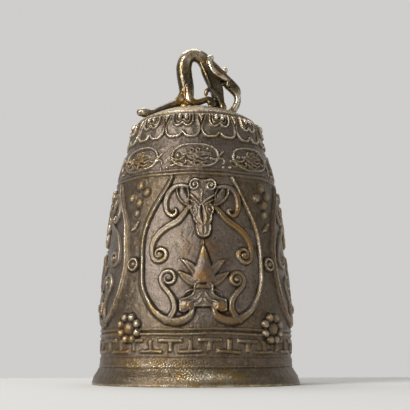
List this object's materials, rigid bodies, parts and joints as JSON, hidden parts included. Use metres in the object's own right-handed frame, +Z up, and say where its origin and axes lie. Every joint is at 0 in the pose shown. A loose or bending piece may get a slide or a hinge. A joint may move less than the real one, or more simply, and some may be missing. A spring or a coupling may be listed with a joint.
{
  "type": "bronze bell",
  "caption": "Round cast bronze bell with a flared mouth, relief panels on its wall, an arched dragon handle on its crown and a free clapper hung inside.",
  "frame": {"origin": "centre of the mouth, on the plane the rim stands on", "axes": "+Z up along the bell's axis towards the handle, -Y towards the front panel, +X to the viewer's right"},
  "size_m": [0.164, 0.164, 0.2769],
  "materials": {
    "bell_bronze": "dark patinated bronze with worn crests",
    "handle_bronze": "rubbed golden bronze",
    "clapper_iron": "forged iron, dark"
  },
  "bodies": {
    "bell": {"beast_mask_back": "bell_bronze", "beast_mask_front": "bell_bronze", "beast_mask_left": "bell_bronze", "beast_mask_right": "bell_bronze", "bell_body": "bell_bronze", "boss_back_left": "bell_bronze", "boss_back_right": "bell_bronze", "boss_front_left": "bell_bronze", "boss_front_right": "bell_bronze", "cartouche_1": "bell_bronze", "cartouche_2": "bell_bronze", "cartouche_3": "bell_bronze", "cartouche_4": "bell_bronze", "cartouche_5": "bell_bronze", "cartouche_6": "bell_bronze", "cartouche_7": "bell_bronze", "cartouche_8": "bell_bronze", "clapper_staple": "clapper_iron", "dragon_handle": "handle_bronze", "lotus_back": "bell_bronze", "lotus_front": "bell_bronze", "lotus_left": "bell_bronze", "lotus_right": "bell_bronze", "panel_frame_left_back": "bell_bronze", "panel_frame_left_front": "bell_bronze", "panel_frame_left_left": "bell_bronze", "panel_frame_left_right": "bell_bronze", "panel_frame_right_back": "bell_bronze", "panel_frame_right_front": "bell_bronze", "panel_frame_right_left": "bell_bronze", "panel_frame_right_right": "bell_bronze", "petal_collar": "bell_bronze", "rosette_back_left": "bell_bronze", "rosette_back_right": "bell_bronze", "rosette_front_left": "bell_bronze", "rosette_front_right": "bell_bronze", "tenon_rove_1": "bell_bronze", "tenon_rove_2": "bell_bronze"},
    "clapper": {"bob_pin": "clapper_iron", "clapper_bob": "bell_bronze", "clapper_shank": "clapper_iron"}
  },
  "joints": [
    {"name": "clapper_swing", "type": "hinge", "parent": "bell", "child": "clapper", "pos_m": [0, 0, 0.2004], "axis": [0, 1, 0], "range_deg": [-20.2, 20.2]}
  ]
}
